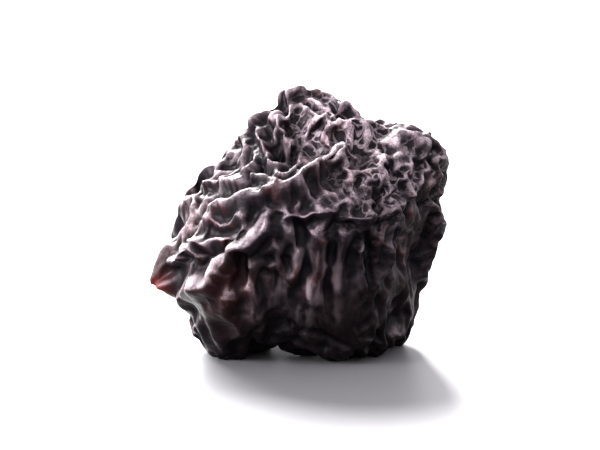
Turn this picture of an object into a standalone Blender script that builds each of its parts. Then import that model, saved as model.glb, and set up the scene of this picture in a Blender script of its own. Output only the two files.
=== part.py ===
"""A prune: one plum dried whole, lying on the flattened undersides of its lobes.

The fruit is a single solid. A plump block is shaped from named corners and its hollows are
sunk in. The dried skin is then carved down between raised folds, in two sizes: the large
folds of the front each have a route of their own, and nets of seams give the rest. Each size
is carved along the normals of the one before it. Last, a slab cuts the foot flat where the
fruit rests. +X is to the right of the front view, +Y away from it and +Z up. The shape is
worked out in millimetres and handed over in metres.
"""

import math

import bmesh
import bpy
import numpy as np
from mathutils import Vector, noise

MM = 0.001

# Size of the finished fruit: from the pointed tip to the right flank, front to back, and high.
LENGTH = 31.1
DEPTH = 27.0
HEIGHT = 28.2

# The plump block that the skin is carved from, how deep its foot is cut flat, and how far
# the front view, in which its features are placed, looks down.
MEAN_RADIUS = 13.3
HALF_DEPTH = 14.2
BOXINESS = 2.35
FLAT_DEPTH = 1.0
VIEW_TILT = math.radians(12)

# Fineness of the grid that is shaped, the decimals that its points keep, and what is left
# of it in the solid.
GRID_CUTS = 95
SOFTENING_PASSES = 3
ROUNDED_TO = 4
SOLID_TRIANGLES = 11000

SKIN_COLOUR = (0.035, 0.02, 0.026, 1)
SKIN_ROUGHNESS = 0.36

# Corners and flats of the outline seen from the front: degrees from +X, height, narrowness.
CORNERS = (
    ("right shoulder", 25, 4.3, 11),
    ("top", 84, 3.4, 28),
    ("upper left flat", 138, -3.2, 7),
    ("left flank", 184, 1.0, 50),
    ("lower left lobe", 237, 2.0, 10),
    ("arch between the lobes", 262, -2.1, 16),
    ("lower right lobe", 304, 1.5, 9),
    ("right flank", 339, 2.2, 8),
)

# Flats where the fruit was pressed as it dried: direction they face, distance.
FLATS = (
    ("upper front", (0.15, -0.57, 0.81), 12.0),
    ("front", (0.02, -0.97, -0.24), 12.6),
    ("right flank", (0.88, -0.45, -0.16), 13.6),
    ("upper back", (-0.2, 0.62, 0.76), 12.4),
    ("lower back", (-0.25, 0.9, -0.36), 12.6),
)
FLAT_SHARPNESS = 9

# Hollows and swellings of the front: across and up as it is seen, height, radius.
FRONT_HOLLOWS = (
    ("upper left hollow", -2.5, 8.6, -1.8, 4.2),
    ("pit", 1.9, 8.3, -0.6, 1.6),
    ("left valley", -8.8, 0.6, -1.2, 2.4),
    ("tip valley", -10.8, -3.0, -0.8, 1.6),
    ("front panel", 4.0, -4.5, -0.9, 5.0),
    ("lower left lobe", -8.5, -7.5, 1.0, 3.6),
    ("lobe dimple", -8.2, -10.0, -0.9, 1.6),
    ("net shoulder", 9.0, 6.0, 0.8, 4.5),
    ("lower waist", -2.5, -11.0, -0.9, 2.4),
    ("under the left lobe", -5.5, -12.6, -1.4, 2.6),
)

# The pointed tip on the left: direction from the middle, height, radius.
TIP_DIRECTION = (-15, -2.5, -4.4)
TIP_HEIGHT, TIP_RADIUS = 2.8, 2.3

# Hollows that the front hides: direction from the middle, height, radius.
HIDDEN_HOLLOWS = (
    ("back hollow", (-3.5, 13, 3.5), -2.4, 4.8),
    ("top hollow", (5, 5.5, 12), -1.8, 4.2),
    ("left back hollow", (-11, 8, -3), -1.8, 3.8),
    ("right back hollow", (8, 11, -6), -1.6, 3.8),
    ("underside hollow", (0.5, 2, -14), -1.8, 5.0),
    ("back swelling", (2, 13, -5), 0.8, 4.0),
)

# The scar where the stalk came away: direction from the middle, depth, radius, then the
# folds that run out from it: how many, the ring they start from, and how long they are.
SCAR_DIRECTION = (12.5, 7.0, 0.5)
SCAR_DEPTH, SCAR_RADIUS = 1.5, 1.9
SCAR_FOLDS, SCAR_RING, SCAR_FOLD_LENGTH = 9, 1.7, 4.2
SCAR_FOLD_HEIGHT, SCAR_FOLD_WIDTH = 0.55, 0.85

# Folds of the front: height, width, then the route across and up.
FRONT_FOLDS = (
    ("upper ridge", 1.0, 1.2, ((-11.5, 2), (-8, 3), (-5.5, 3.6), (-3, 4.1), (-0.5, 4.8),
                               (1, 5.8), (3, 6.7), (4.8, 7.8), (6.4, 9.4))),
    ("lower left ridge", 1.1, 1.2, ((-12, -7.8), (-12, -6.2), (-11, -5.3), (-9.5, -4.8),
                                    (-8.2, -3.5), (-7, -2.3), (-5, -1.3), (-3.8, 0),
                                    (-3.2, 1.8), (-3.3, 3.6))),
    ("top right rim", 1.0, 1.4, ((0.6, 10.9), (3, 10.6), (5, 9.9), (8, 9.9), (11, 9),
                                 (13.5, 8.2), (15.2, 7.6))),
    ("upper rim", 0.9, 1.2, ((-4.2, 11.8), (-2.6, 12.7), (-0.6, 13.4), (1.4, 13.9),
                             (3.2, 13.6), (4.6, 12.5), (6, 11.6), (8.5, 11))),
    ("outer curl", 0.8, 0.8, ((-4.4, 11.2), (-4.7, 10), (-4.5, 8.9), (-3.6, 7.9),
                              (-2.4, 7.5), (-1, 7.7), (0.2, 8.4))),
    ("inner curl", 0.7, 0.7, ((-2.8, 7.4), (-2.2, 6.6), (-1, 6.4), (0.2, 7.1), (0.6, 8))),
    ("bright curl", 0.9, 0.9, ((-6, 5), (-4.8, 5.6), (-3.6, 5.6), (-2.2, 5.1), (-1, 5.3))),
    ("left curl", 0.7, 0.8, ((-6.6, 9.6), (-5.8, 8.6), (-5.4, 7.3), (-6.1, 6.2),
                             (-7.3, 5.8))),
    ("left rim", 0.7, 0.8, ((-10.2, 4), (-8.6, 4.8), (-7, 5.1), (-6, 5))),
    ("top curl", 0.6, 0.7, ((-2.2, 11.8), (-2, 10.6), (-0.8, 9.6), (0.6, 9.3))),
    ("valley fold", 0.8, 0.8, ((-12.6, -0.2), (-10.8, -0.6), (-9.4, 0), (-8, -0.4),
                               (-7, -1.2))),
    ("tip fold", 0.7, 0.8, ((-14.2, -2.6), (-13, -2.9), (-11.9, -1.4), (-11.2, -2.6),
                            (-11.3, -4.4))),
    ("upper valley fold", 0.7, 0.8, ((-11.6, 1.6), (-10, 1.9), (-8.2, 1.4), (-6.6, 1.9),
                                     (-5.2, 0.8))),
    ("middle rib", 0.8, 1.1, ((1.4, 0.8), (2.2, -1), (2.3, -3.6), (1.8, -6), (1.2, -8))),
    ("left rib", 0.6, 0.9, ((-0.9, 0.6), (-0.1, -1.5), (0.2, -3.6), (-0.6, -6.2))),
    ("right rib", 0.6, 1.0, ((5.6, 0.6), (5.2, -2), (4.6, -4.6), (4.2, -7.4))),
    ("short rib", 0.6, 0.9, ((6.9, -1.6), (7.3, -4.2), (8, -6.6))),
    ("edge rib", 0.7, 0.8, ((10.6, -1.2), (10.4, -3.2), (9.6, -4.8), (8.6, -6.4))),
    ("upper lobe rib", 0.5, 0.9, ((-7.2, -3.8), (-7, -5.4), (-7.2, -7))),
    ("lobe rib", 0.6, 0.9, ((-4.4, -2.4), (-4.9, -4.6), (-4.4, -6.6), (-4.2, -8.2),
                            (-3, -9.8))),
    ("net edge", 0.8, 0.9, ((4.6, 1.3), (6.6, 1.4), (8.6, 1.3), (10.6, 1.6), (12.2, 2.9),
                            (13.6, 4.6), (14.4, 6.6))),
    ("panel top", 0.6, 0.8, ((-1.6, 1.4), (0.6, 1.2), (2.8, 2), (4.4, 1.6))),
)

# Creases of the front, sunk instead of raised: depth, width, then the route.
FRONT_CREASES = (
    ("under crease", 0.6, 0.7, ((0.6, -10.2), (3, -11), (6.8, -12))),
    ("waist crease", 0.5, 0.7, ((-5, -11.4), (-3, -10.6), (-0.6, -10.1))),
)

# The shape of a fold across its route: a narrow crest on a wider foot, as share of the
# height and times the width, and the part of its length over which each end tapers off.
CREST_SHARE, FOOT_SPREAD = 0.7, 2.4
END_HEIGHT, END_LENGTH = 0.2, 0.2

# The seed of all that is drawn at random, which settles how the swirls bend the nets.
SEED = 2

# Nets of wrinkles over the skin: cell width, how much taller than wide, depth, seed, then
# the size and the reach of the swirl that bends them.
LARGE_WRINKLES = (4.4, 1.9, 2.0, 1, 7.0, 1.7)
SMALL_WRINKLES = (2.1, 1.6, 0.85, 2, 3.2, 0.7)
FRONT_SHARE_OF_LARGE = 0.5

# A seam's width, as a share of its cell's, and its height: the mean, how far seams differ
# from it, and what they differ by from place to place.
SEAM_SHARE = 0.33
SEAM_HEIGHT, SEAM_SPREAD, SEAM_CHANGE = 0.62, 0.38, (5.1, 7.3, 6.1)

# Where the wrinkles of each size are stronger or weaker: a place on the fruit, radius, change.
LARGE_WRINKLE_AREAS = (
    ("upper left hollow", (-2.5, -8.0, 9.5), 4.5, -0.75),
    ("lower left lobe", (-9.0, -9.0, -8.0), 5.0, -0.3),
    ("front", (3.5, -12.0, -6.0), 7.0, -0.4),
    ("lower front", (3.0, -9.0, -12.0), 5.0, -0.4),
)
SMALL_WRINKLE_AREAS = (
    ("net shoulder", (9.0, -10.0, 6.5), 6.0, 0.2),
    ("lower left lobe", (-8.0, -9.0, -9.0), 5.5, -0.85),
    ("dark right flank", (14.0, -3.0, -4.0), 6.0, -0.4),
    ("front", (3.5, -12.0, -6.0), 7.0, -0.6),
    ("lower front", (3.0, -9.0, -12.0), 5.0, -0.4),
    ("upper left hollow", (-2.5, -8.0, 9.5), 4.0, -0.45),
)
LEAST_FACING = 0.2

# Broad unevenness of the block: size, height. The front has a smaller share of it.
BROAD_LUMPS = ((9.0, 1.1), (4.5, 0.5))
FRONT_SHARE_OF_LUMPS = 0.35

# Where the front, which the folds above cover, ends: y, and the width of the change.
FRONT_END, FRONT_BLEND = -8.0, 7.0


def smoothly(value):
    value = np.clip(value, 0, 1)
    return value * value * (3 - 2 * value)


def unit(vectors):
    return vectors / np.linalg.norm(vectors, axis=-1, keepdims=True)


def outline_radius(angle):
    radius = np.full_like(angle, MEAN_RADIUS)
    for _, degrees, height, narrowness in CORNERS:
        radius += height * np.exp(narrowness * (np.cos(angle - math.radians(degrees)) - 1))
    return radius


def plump(directions):
    """Points of the plump block in the given directions from its middle."""
    x, y, z = directions.T
    across = np.hypot(x, z) / outline_radius(np.arctan2(z, x))
    inward = across**BOXINESS + (np.abs(y) / HALF_DEPTH) ** BOXINESS
    inward = inward ** (FLAT_SHARPNESS / BOXINESS)
    for _, facing, distance in FLATS:
        inward += np.maximum(directions @ unit(np.array(facing)) / distance, 0) ** FLAT_SHARPNESS
    return directions * (inward ** (-1 / FLAT_SHARPNESS))[:, None]


def on_front(seen):
    """Points of the block behind the given places, across and up, as seen from the front."""
    seen = np.array(seen, float).reshape(-1, 2)
    sight = np.array((0, math.cos(VIEW_TILT), -math.sin(VIEW_TILT)))
    up = np.array((0, math.sin(VIEW_TILT), math.cos(VIEW_TILT)))
    depths = np.linspace(-1.8 * HALF_DEPTH, HALF_DEPTH, 741)
    flat = seen[:, :1] * np.array((1.0, 0, 0)) + seen[:, 1:] * up
    lines = flat[:, None, :] + depths[None, :, None] * sight
    far = np.linalg.norm(lines, axis=2)
    skin = np.linalg.norm(plump(unit(lines).reshape(-1, 3)), axis=1)
    share = far / skin.reshape(far.shape)
    inside = share < 1
    first = np.where(inside.any(axis=1), inside.argmax(axis=1), share.argmin(axis=1))
    return plump(unit(lines[np.arange(len(seen)), first]))


def towards(direction):
    """The point of the block in one direction from its middle."""
    return plump(unit(np.array([direction], float)))[0]


def smooth_route(points, step=0.35):
    """A smooth curve through the points, with a point about every step."""
    points = np.asarray(points, float)
    padded = np.vstack((2 * points[0] - points[1], points, 2 * points[-1] - points[-2]))
    pieces = []
    for a, b, c, d in zip(padded, padded[1:], padded[2:], padded[3:]):
        count = max(2, int(np.linalg.norm(c - b) / step))
        t = np.linspace(0, 1, count, endpoint=False)[:, None]
        bend = (2 * a - 5 * b + 4 * c - d) * t**2 + (3 * b - a - 3 * c + d) * t**3
        pieces.append(0.5 * (2 * b + (c - a) * t + bend))
    return np.vstack(pieces + [points[-1:]])


def unevenness(points, size, seed):
    return np.array([noise.noise(Vector(p)) for p in points / size + 19.4 * seed])


def swirled(points, size, reach, seed):
    """The points moved about by smooth noise, so that what is placed by them is bent."""
    moves = [noise.noise_vector(Vector(p)) for p in points / size + 19.4 * seed]
    return points + reach * np.array(moves)


def crest(gap, width):
    """Height of a fold, from 0 to 1, at a distance from its route."""
    narrow = np.exp(-((gap / width) ** 2))
    wide = np.exp(-((gap / (FOOT_SPREAD * width)) ** 2))
    return CREST_SHARE * narrow + (1 - CREST_SHARE) * wide


def fold(block, route, width):
    """The fold along a route, from 0 to 1 at each point of the block. Its ends taper off."""
    middle = route.mean(axis=0)
    reach = np.linalg.norm(route - middle, axis=1).max() + 2 * FOOT_SPREAD * width
    near = np.flatnonzero(np.linalg.norm(block - middle, axis=1) < reach)
    gaps = np.linalg.norm(block[near, None, :] - route[None, :, :], axis=2)
    along = np.linspace(0, 1, len(route))
    taper = END_HEIGHT + (1 - END_HEIGHT) * smoothly(np.minimum(along, 1 - along) / END_LENGTH)
    height = np.zeros(len(block))
    height[near] = taper[gaps.argmin(axis=1)] * crest(gaps.min(axis=1), width)
    return height


def net(points, wrinkles):
    """Seams around cells, from 0 in a cell's middle to 1 on a full seam. Seams differ."""
    width, tallness, _, seed, swirl_size, swirl_reach = wrinkles
    placed = swirled(points, swirl_size, swirl_reach, seed) / width
    placed[:, 2] /= tallness
    found = [noise.voronoi(Vector(p)) for p in placed + 7.7 * seed]
    gaps = np.array([each[0] for each in found])
    sites = np.array([[tuple(site) for site in each[1]] for each in found])
    value = np.zeros(len(points))
    for other in (1, 2, 3):
        apart = np.linalg.norm(sites[:, other] - sites[:, 0], axis=1)
        to_seam = width * (gaps[:, other] ** 2 - gaps[:, 0] ** 2) / (2 * apart)
        between = sites[:, other] + sites[:, 0]
        height = SEAM_HEIGHT + SEAM_SPREAD * np.sin(between @ np.array(SEAM_CHANGE))
        value += (height * np.exp(-((to_seam / (SEAM_SHARE * width)) ** 2))) ** 2
    return np.sqrt(value / (1 + 0.5 * value * value))


def scar_routes():
    """Routes of the folds that run out from the stalk's scar."""
    middle = towards(SCAR_DIRECTION)
    outward = unit(middle)
    side = unit(np.cross(outward, (0, 0, 1)))
    up = np.cross(side, outward)
    for k in range(SCAR_FOLDS):
        turn = 2 * math.pi * k / SCAR_FOLDS
        length = SCAR_FOLD_LENGTH * (0.75 + 0.25 * math.sin(5 * k))
        steps = SCAR_RING + length * np.linspace(0, 1, 6)
        angles = turn + 0.12 * math.sin(3 * k) * steps
        spread = np.cos(angles)[:, None] * side + np.sin(angles)[:, None] * up
        yield plump(unit(middle + steps[:, None] * spread))


def block_mesh(cuts):
    """A cube cut into a grid, whose points are then spread evenly round a sphere."""
    bm = bmesh.new()
    bmesh.ops.create_cube(bm, size=2)
    bmesh.ops.subdivide_edges(bm, edges=bm.edges[:], cuts=cuts, use_grid_fill=True)
    mesh = bpy.data.meshes.new("prune")
    bm.to_mesh(mesh)
    bm.free()
    return mesh


def points_of(mesh):
    found = np.empty(len(mesh.vertices) * 3, np.float32)
    mesh.vertices.foreach_get("co", found)
    return found.reshape(-1, 3).astype(float)


def quads_of(mesh):
    found = np.empty(len(mesh.loops), np.int32)
    mesh.loops.foreach_get("vertex_index", found)
    return found.reshape(-1, 4)


def sum_at(places, vectors, count):
    """The sum of the vectors that fall on each of the places."""
    return np.stack([np.bincount(places, column, count) for column in vectors.T], axis=1)


def normals(quads, points):
    """Outward directions at the points, from the faces around each."""
    a, b, c, d = (points[quads[:, corner]] for corner in range(4))
    facing = np.repeat(np.cross(c - a, d - b), 4, axis=0)
    return unit(sum_at(quads.ravel(), facing, len(points)))


def softened(quads, points):
    """The points with each one drawn towards its neighbours, which rounds the crests."""
    here, beside = quads.ravel(), np.roll(quads, -1, axis=1).ravel()
    beside_each = np.bincount(here)[:, None]
    for _ in range(SOFTENING_PASSES):
        points = (points + sum_at(here, points[beside], len(points)) / beside_each) / 2
    return points


def hidden(block):
    """0 on the front to 1 on the sides and back."""
    return smoothly((block[:, 1] - FRONT_END) / FRONT_BLEND)


def swelling(block, middle, radius):
    return np.exp(-((np.linalg.norm(block - middle, axis=1) / radius) ** 2))


def sink_hollows(quads, block):
    height = np.zeros(len(block))
    for _, across, up, rise, radius in FRONT_HOLLOWS:
        height += rise * swelling(block, on_front((across, up))[0], radius)
    for _, direction, rise, radius in HIDDEN_HOLLOWS:
        height += rise * swelling(block, towards(direction), radius)
    height += TIP_HEIGHT * swelling(block, towards(TIP_DIRECTION), TIP_RADIUS)
    height -= SCAR_DEPTH * swelling(block, towards(SCAR_DIRECTION), SCAR_RADIUS)
    share = FRONT_SHARE_OF_LUMPS + (1 - FRONT_SHARE_OF_LUMPS) * hidden(block)
    for seed, (size, rise) in enumerate(BROAD_LUMPS):
        height += rise * share * unevenness(block, size, 3 + seed)
    return block + normals(quads, block) * height[:, None]


def wrinkle_share(block, areas):
    """How strong the wrinkles are at each point, where 1 is their full strength."""
    share = np.ones(len(block))
    for _, middle, radius, change in areas:
        share *= 1 + change * swelling(block, np.array(middle), radius)
    return share


def carve_large(quads, block, points):
    """Lowers the skin between the folds, which stay at the level they were."""
    share = FRONT_SHARE_OF_LARGE + (1 - FRONT_SHARE_OF_LARGE) * hidden(block)
    share *= wrinkle_share(block, LARGE_WRINKLE_AREAS)
    raised = (share * net(block, LARGE_WRINKLES)) ** 3
    for _, height, width, seen in FRONT_FOLDS:
        raised += (height * fold(block, smooth_route(on_front(seen)), width)) ** 3
    for route in scar_routes():
        raised += (SCAR_FOLD_HEIGHT * fold(block, smooth_route(route), SCAR_FOLD_WIDTH)) ** 3
    height = LARGE_WRINKLES[2] * (raised ** (1 / 3) - 1)
    for _, depth, width, seen in FRONT_CREASES:
        height -= depth * fold(block, smooth_route(on_front(seen)), width)
    return points + unit(normals(quads, block) + normals(quads, points)) * height[:, None]


def carve_small(quads, block, points):
    """Lowers the skin between the small seams, less so on the flanks of the large folds."""
    blocks_own = normals(quads, block)
    outward = normals(quads, points)
    facing = np.clip((blocks_own * outward).sum(axis=1), LEAST_FACING, 1)
    depth = SMALL_WRINKLES[2] * facing * wrinkle_share(block, SMALL_WRINKLE_AREAS)
    height = depth * (net(block, SMALL_WRINKLES) - 1)
    return points + unit(blocks_own + outward) * height[:, None]


def fitted(points):
    """The fruit at its finished size, pressed into the ground by the depth of its flats."""
    low, high = points.min(axis=0), points.max(axis=0)
    low[2] += FLAT_DEPTH
    points = (points - (low + high) / 2) * np.array((LENGTH, DEPTH, HEIGHT)) / (high - low)
    return points + np.array((0, 0, HEIGHT / 2))


def shaped(mesh):
    """Points of the fruit for a block mesh of any fineness, in millimetres."""
    even = np.tan(points_of(mesh) * math.pi / 4)
    quads = quads_of(mesh)
    block = plump(unit(even))
    points = sink_hollows(quads, block)
    points = carve_large(quads, block, points)
    points = carve_small(quads, block, points)
    return fitted(softened(quads, points)).round(ROUNDED_TO)


def skin_material():
    material = bpy.data.materials.new("dried skin")
    material.use_nodes = True
    shader = material.node_tree.nodes["Principled BSDF"]
    shader.inputs["Base Color"].default_value = SKIN_COLOUR
    shader.inputs["Roughness"].default_value = SKIN_ROUGHNESS
    shader.inputs["Metallic"].default_value = 0
    return material


def fewer_triangles(prune, triangles):
    thinning = prune.modifiers.new("fewer triangles", "DECIMATE")
    thinning.ratio = triangles / (2 * len(prune.data.polygons))
    thinning.use_collapse_triangulate = True


def new_collection(name):
    collection = bpy.data.collections.new(name)
    bpy.context.scene.collection.children.link(collection)
    return collection


def ground_cutter():
    """A slab under the ground, which cuts the flats that the fruit rests on."""
    size = 2 * LENGTH * MM
    bpy.ops.mesh.primitive_cube_add(size=size, location=(0, 0, -size / 2))
    slab = bpy.context.object
    slab.name = "ground cutter"
    slab.hide_render = True
    slab.display_type = "WIRE"
    for collection in list(slab.users_collection):
        collection.objects.unlink(slab)
    new_collection("cutters").objects.link(slab)
    return slab


def make_prune():
    collection = new_collection("prune")
    mesh = block_mesh(GRID_CUTS)
    points = shaped(mesh) * MM
    mesh.vertices.foreach_set("co", points.astype(np.float32).ravel())
    mesh.update()
    mesh.shade_smooth()
    mesh.materials.append(skin_material())
    prune = bpy.data.objects.new("prune", mesh)
    collection.objects.link(prune)
    fewer_triangles(prune, SOLID_TRIANGLES)
    flats = prune.modifiers.new("flat foot", "BOOLEAN")
    flats.operation = "DIFFERENCE"
    flats.object = ground_cutter()


def main():
    for old in list(bpy.data.objects):
        bpy.data.objects.remove(old, do_unlink=True)
    noise.seed_set(SEED)
    make_prune()


if __name__ == "__main__":
    main()
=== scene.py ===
# %% [markdown]
# # A prune, dried whole
#
# This file dresses one fruit. A imported model gives the frame: its box says where the fruit is
# and how large it is. Everything here is made in that frame, and the camera and the lights
# stand in it too. The fruit grew as one piece, so it is one piece here.
#
# The frame has to be loaded before anything else, and its box is kept now, because the end of
# the file prints it beside the finished fruit's box.

# %% Load the frame and keep its box
import math
import time

import bmesh
import bpy
import numpy as np
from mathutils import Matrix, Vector, noise


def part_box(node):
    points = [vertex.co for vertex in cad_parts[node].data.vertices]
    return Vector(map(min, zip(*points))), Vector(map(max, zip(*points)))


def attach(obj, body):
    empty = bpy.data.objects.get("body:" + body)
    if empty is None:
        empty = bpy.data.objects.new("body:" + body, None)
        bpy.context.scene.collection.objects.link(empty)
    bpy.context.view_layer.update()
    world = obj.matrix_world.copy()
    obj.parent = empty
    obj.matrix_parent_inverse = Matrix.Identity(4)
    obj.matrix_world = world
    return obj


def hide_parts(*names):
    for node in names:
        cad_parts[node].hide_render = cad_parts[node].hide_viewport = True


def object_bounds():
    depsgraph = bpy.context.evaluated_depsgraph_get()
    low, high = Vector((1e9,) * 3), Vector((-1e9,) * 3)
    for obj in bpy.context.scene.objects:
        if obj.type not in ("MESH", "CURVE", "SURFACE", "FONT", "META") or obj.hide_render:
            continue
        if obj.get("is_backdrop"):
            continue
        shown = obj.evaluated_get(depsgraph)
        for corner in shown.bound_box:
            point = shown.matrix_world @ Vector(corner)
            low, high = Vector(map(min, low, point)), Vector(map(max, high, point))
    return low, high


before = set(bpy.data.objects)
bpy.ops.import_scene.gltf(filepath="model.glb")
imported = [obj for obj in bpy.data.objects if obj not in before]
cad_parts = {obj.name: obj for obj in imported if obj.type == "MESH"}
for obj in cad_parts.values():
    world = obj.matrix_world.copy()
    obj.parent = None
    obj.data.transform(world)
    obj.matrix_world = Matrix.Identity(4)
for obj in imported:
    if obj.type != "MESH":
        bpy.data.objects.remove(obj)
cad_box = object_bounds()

MM = 0.001
low, high = (np.array(corner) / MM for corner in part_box("prune"))
LENGTH, DEPTH, HEIGHT = high - low
print("the solid is", (high - low).round(1), "mm")

# %% [markdown]
# ## A fine mesh to shape
#
# A plum shrinks by three quarters as it dries, and its skin doesn't. So the skin folds, and
# the folds run in every direction. A sphere from Blender's menu has poles where its faces
# crowd, and the poles would show as stars in the wrinkles. A cube cut into a grid and blown
# up to a ball has no poles. The tangent spreads its points evenly.
#
# All shaping is done in millimetres, on numpy arrays of points and of the four corners of
# each quad. The mesh takes the finished points at the end.

# %% The ball of even quads
GRID_CUTS = 127


def grid_mesh(cuts):
    bm = bmesh.new()
    bmesh.ops.create_cube(bm, size=2)
    bmesh.ops.subdivide_edges(bm, edges=bm.edges[:], cuts=cuts, use_grid_fill=True)
    mesh = bpy.data.meshes.new("prune_skin")
    bm.to_mesh(mesh)
    bm.free()
    return mesh


def unit(vectors):
    return vectors / np.linalg.norm(vectors, axis=-1, keepdims=True)


def points_of(mesh):
    found = np.empty(len(mesh.vertices) * 3, np.float32)
    mesh.vertices.foreach_get("co", found)
    return found.reshape(-1, 3).astype(float)


def quads_of(mesh):
    found = np.empty(len(mesh.loops), np.int32)
    mesh.loops.foreach_get("vertex_index", found)
    return found.reshape(-1, 4)


skin = grid_mesh(GRID_CUTS)
quads = quads_of(skin)
ball = unit(np.tan(points_of(skin) * math.pi / 4))
print("the skin has", len(ball), "points and", len(quads), "quads")


# %% Normals of any shape the points are given
def normals(points):
    """Outward directions at the points, from the faces around each."""
    a, b, c, d = (points[quads[:, corner]] for corner in range(4))
    facing = np.repeat(np.cross(c - a, d - b), 4, axis=0)
    places = quads.ravel()
    return unit(np.stack([np.bincount(places, column) for column in facing.T], axis=1))


print("the ball's normals differ from its radii by", np.abs(normals(ball) - ball).max().round(4))

# %% [markdown]
# ## The plump block
#
# Before the wrinkles comes the stout form that they sit on. Seen from the front its outline
# has shoulders, lobes and a flat, each a bump on the radius at its own angle. The depth is
# rounded off like a pillow, with a power a little over two. A sculptor would push a ball
# about by hand. Named corners do the same here, and each can be found again and changed.

# %% The outline's corners and the block
MEAN_RADIUS = 13.3
HALF_DEPTH = 14.2
BOXINESS = 2.35

# Degrees from +X as seen from the front, height, narrowness.
CORNERS = (
    ("right shoulder", 25, 4.3, 11),
    ("top", 84, 3.4, 28),
    ("upper left flat", 138, -3.2, 7),
    ("left flank", 184, 1.0, 50),
    ("lower left lobe", 237, 2.0, 10),
    ("arch between the lobes", 262, -2.1, 16),
    ("lower right lobe", 304, 1.5, 9),
    ("right flank", 339, 2.2, 8),
)

# Flats where the fruit was pressed as it dried: direction they face, distance.
FLATS = (
    ("upper front", (0.15, -0.57, 0.81), 12.0),
    ("front", (0.02, -0.97, -0.24), 12.6),
    ("right flank", (0.88, -0.45, -0.16), 13.6),
    ("upper back", (-0.2, 0.62, 0.76), 12.4),
    ("lower back", (-0.25, 0.9, -0.36), 12.6),
)
FLAT_SHARPNESS = 9


def outline_radius(angle):
    radius = np.full_like(angle, MEAN_RADIUS)
    for _, degrees, height, narrowness in CORNERS:
        radius += height * np.exp(narrowness * (np.cos(angle - math.radians(degrees)) - 1))
    return radius


def plump(directions):
    """Points of the plump block in the given directions from its middle."""
    x, y, z = directions.T
    across = np.hypot(x, z) / outline_radius(np.arctan2(z, x))
    inward = across**BOXINESS + (np.abs(y) / HALF_DEPTH) ** BOXINESS
    inward = inward ** (FLAT_SHARPNESS / BOXINESS)
    for _, facing, distance in FLATS:
        inward += np.maximum(directions @ unit(np.array(facing)) / distance, 0) ** FLAT_SHARPNESS
    return directions * (inward ** (-1 / FLAT_SHARPNESS))[:, None]


block = plump(ball)
print("the block is", np.ptp(block, axis=0).round(1), "mm")

# %% [markdown]
# ## Places on the fruit
#
# The features of the front are easiest to name as they are seen: so far across, so far up.
# The view looks down on the fruit a little, so a place seen is a line through the fruit, and
# the feature belongs where that line first meets the block. Marching along the line in small
# steps is slow but plain, and there are only a few dozen places.
#
# The hidden sides get their features by direction from the middle.

# %% From a place seen to a point on the block
VIEW_TILT = math.radians(12)
SIGHT_REACH, SIGHT_STEPS = 1.8, 741


def on_front(seen):
    """Points of the block behind the given places, across and up, as seen from the front."""
    seen = np.array(seen, float).reshape(-1, 2)
    sight = np.array((0, math.cos(VIEW_TILT), -math.sin(VIEW_TILT)))
    up = np.array((0, math.sin(VIEW_TILT), math.cos(VIEW_TILT)))
    depths = np.linspace(-SIGHT_REACH * HALF_DEPTH, HALF_DEPTH, SIGHT_STEPS)
    flat = seen[:, :1] * np.array((1.0, 0, 0)) + seen[:, 1:] * up
    lines = flat[:, None, :] + depths[None, :, None] * sight
    far = np.linalg.norm(lines, axis=2)
    reach = np.linalg.norm(plump(unit(lines).reshape(-1, 3)), axis=1)
    share = far / reach.reshape(far.shape)
    inside = share < 1
    first = np.where(inside.any(axis=1), inside.argmax(axis=1), share.argmin(axis=1))
    return plump(unit(lines[np.arange(len(seen)), first]))


print("the middle of the view falls on", on_front((0, 0))[0].round(1))


# %% From a direction to a point, and what lies near a point
SEED_STEP = 19.4


def towards(direction):
    """The point of the block in one direction from its middle."""
    return plump(unit(np.array([direction], float)))[0]


def swelling(middle, radius):
    """1 at the middle, fading to 0 with distance over the block."""
    return np.exp(-((np.linalg.norm(block - middle, axis=1) / radius) ** 2))


def smoothly(value):
    value = np.clip(value, 0, 1)
    return value * value * (3 - 2 * value)


def unevenness(points, size, seed):
    """Smooth noise, in lumps of about the given size."""
    return np.array([noise.noise(Vector(p)) for p in points / size + SEED_STEP * seed])


print("straight up, the block's top is at", towards((0, 0, 1)).round(1))

# %% [markdown]
# ## Hollows
#
# As the flesh dries it shrinks most where it is thinnest, and the skin falls in between the
# stronger parts. These hollows are broader than any wrinkle: the big one at the upper left,
# the valleys beside the pointed tip, the panel in the middle of the front. Each is a soft
# dent along the block's own normals.
#
# Away from the tip, where the view doesn't reach, is the scar of the stalk. It is a smaller
# dent. Every plum has one.

# %% Dent the block
# Across and up as it is seen, height, radius.
FRONT_HOLLOWS = (
    ("upper left hollow", -2.5, 8.6, -1.8, 4.2),
    ("pit", 1.9, 8.3, -0.6, 1.6),
    ("left valley", -8.8, 0.6, -1.2, 2.4),
    ("tip valley", -10.8, -3.0, -0.8, 1.6),
    ("front panel", 4.0, -4.5, -0.9, 5.0),
    ("lower left lobe", -8.5, -7.5, 1.0, 3.6),
    ("lobe dimple", -8.2, -10.0, -0.9, 1.6),
    ("net shoulder", 9.0, 6.0, 0.8, 4.5),
    ("lower waist", -2.5, -11.0, -0.9, 2.4),
    ("under the left lobe", -5.5, -12.6, -1.4, 2.6),
)

# Direction from the middle, height, radius.
HIDDEN_HOLLOWS = (
    ("back hollow", (-3.5, 13, 3.5), -2.4, 4.8),
    ("top hollow", (5, 5.5, 12), -1.8, 4.2),
    ("left back hollow", (-11, 8, -3), -1.8, 3.8),
    ("right back hollow", (8, 11, -6), -1.6, 3.8),
    ("underside hollow", (0.5, 2, -14), -1.8, 5.0),
    ("back swelling", (2, 13, -5), 0.8, 4.0),
)
TIP_DIRECTION, TIP_HEIGHT, TIP_RADIUS = (-15, -2.5, -4.4), 2.8, 2.3
SCAR_DIRECTION, SCAR_DEPTH, SCAR_RADIUS = (12.5, 7.0, 0.5), 1.5, 1.9

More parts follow.
